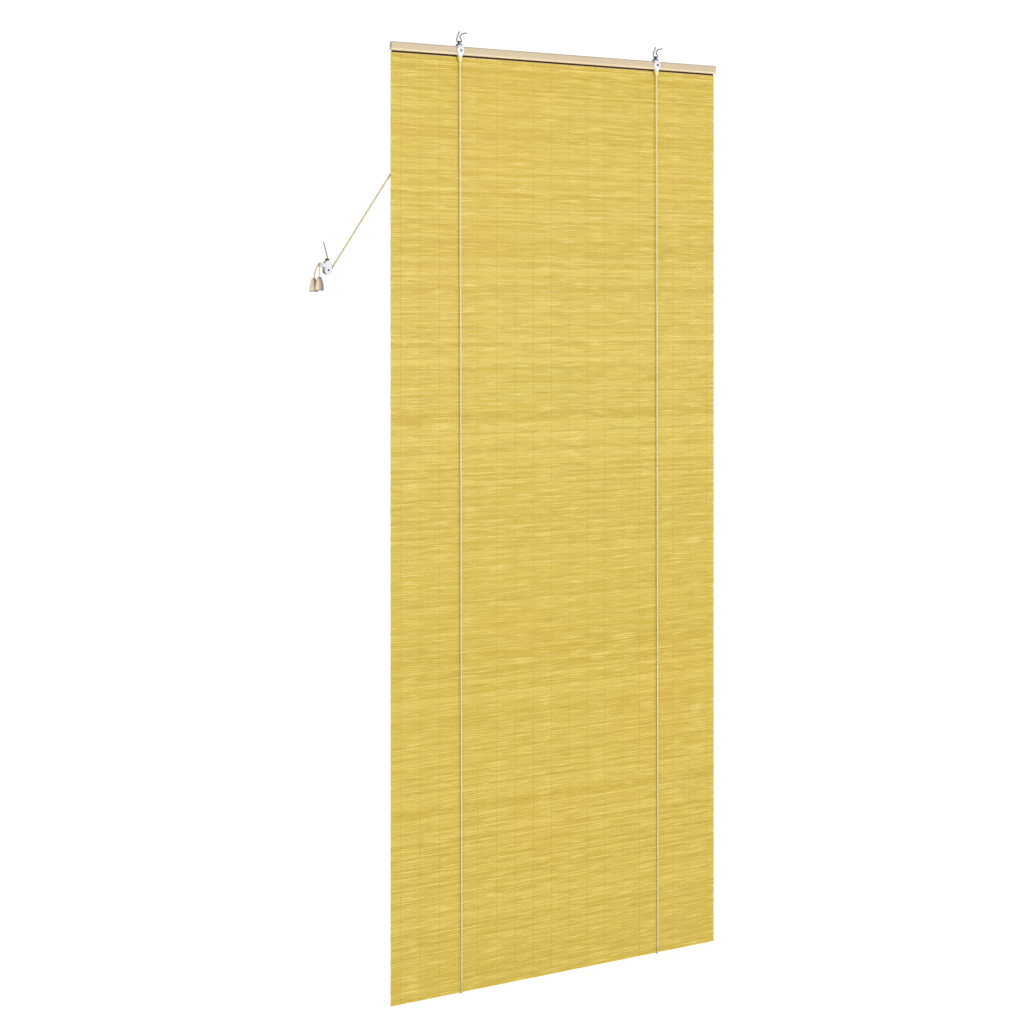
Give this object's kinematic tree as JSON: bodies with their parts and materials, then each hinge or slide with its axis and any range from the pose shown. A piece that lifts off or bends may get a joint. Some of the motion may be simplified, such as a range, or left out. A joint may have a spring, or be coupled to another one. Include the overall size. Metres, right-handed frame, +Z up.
{
  "type": "bamboo roll up blind",
  "caption": "Woven bamboo roll-up blind on a wooden head rail, with pulleys, lift cords, hanging hooks and a cord tensioner with pull bells.",
  "frame": {"origin": "level with the seats of the two hanging hooks, over the middle of the head rail's length, in the middle plane of the sheet", "axes": "+X along the head rail to the right as seen from the front, +Y from the front to the back, +Z up"},
  "size_m": [1.0876, 0.0491, 2.2388],
  "materials": {
    "pale_wood": "satin lacquer over fine straight grain",
    "brown_tape": "woven binding tape",
    "bamboo": "split bamboo, semi-matt",
    "white_plastic": "moulded, glossy",
    "grey_plastic": "moulded nylon",
    "dark_steel": "blackened zinc plate",
    "steel": "bright zinc plate",
    "bronze": "dull bronze",
    "cord": "braided, pale cream",
    "cream_plastic": "moulded",
    "bell_wood": "turned, sealed"
  },
  "bodies": {
    "blind": {"axle_spacer_right": "grey_plastic", "bolt_nut_left": "steel", "bolt_nut_right": "steel", "bolt_sleeve_left": "steel", "bolt_sleeve_right": "steel", "bottom_batten": "pale_wood", "clip_left": "white_plastic", "clip_right": "white_plastic", "cord_knot_far": "cord", "cord_knot_near": "cord", "cord_stop_left": "cream_plastic", "cord_stop_right": "cream_plastic", "hanger_plate_left_inner": "steel", "hanger_plate_left_outer": "steel", "hanger_plate_right_inner": "steel", "hanger_plate_right_outer": "steel", "lift_cord_left": "cord", "lift_cord_right": "cord", "pull_cord_far": "cord", "pull_cord_near": "cord", "rail_back": "pale_wood", "rail_bolt_left": "steel", "rail_bolt_right": "steel", "rail_front": "pale_wood", "rail_staples": "steel", "tension_axle": "steel", "tension_body": "white_plastic", "tension_ferrule": "bronze", "tension_peg": "steel", "tension_wire": "steel", "top_tape": "brown_tape", "wheel_axle_left": "steel", "wheel_axle_right": "steel", "woven_sheet": "bamboo"},
    "left_hook": {"swivel_left": "dark_steel", "hook_left": "steel"},
    "right_hook": {"swivel_right": "dark_steel", "hook_right": "steel"},
    "left_inner_wheel": {"sheave_left_inner": "grey_plastic"},
    "left_outer_wheel": {"sheave_left_outer": "grey_plastic"},
    "right_wheel": {"sheave_right": "grey_plastic"},
    "tension_wheel": {"tension_sheave": "grey_plastic"},
    "near_bell": {"bell_near": "bell_wood"},
    "far_bell": {"bell_far": "bell_wood"}
  },
  "joints": [
    {"name": "left_hook_swivel", "type": "hinge", "parent": "blind", "child": "left_hook", "pos_m": [-0.2745, -0.003, -0.019], "axis": [0, 0, 1], "continuous": true},
    {"name": "right_hook_swivel", "type": "hinge", "parent": "blind", "child": "right_hook", "pos_m": [0.2715, -0.003, -0.019], "axis": [0, 0, 1], "continuous": true},
    {"name": "left_inner_wheel_turn", "type": "hinge", "parent": "blind", "child": "left_inner_wheel", "pos_m": [-0.2745, 0.0101, -0.0899], "axis": [0, 1, 0], "continuous": true},
    {"name": "left_outer_wheel_turn", "type": "hinge", "parent": "blind", "child": "left_outer_wheel", "pos_m": [-0.2745, 0.0157, -0.0899], "axis": [0, 1, 0], "continuous": true},
    {"name": "right_wheel_turn", "type": "hinge", "parent": "blind", "child": "right_wheel", "pos_m": [0.2715, 0.0157, -0.0899], "axis": [0, 1, 0], "continuous": true},
    {"name": "tension_wheel_turn", "type": "hinge", "parent": "blind", "child": "tension_wheel", "pos_m": [-0.6, 0.0129, -0.5463], "axis": [0, 1, 0], "continuous": true},
    {"name": "near_bell_turn", "type": "hinge", "parent": "blind", "child": "near_bell", "pos_m": [-0.6236, 0.002, -0.578], "axis": [0, 0, 1], "continuous": true},
    {"name": "far_bell_turn", "type": "hinge", "parent": "blind", "child": "far_bell", "pos_m": [-0.628, 0.0242, -0.58], "axis": [0, 0, 1], "continuous": true}
  ]
}
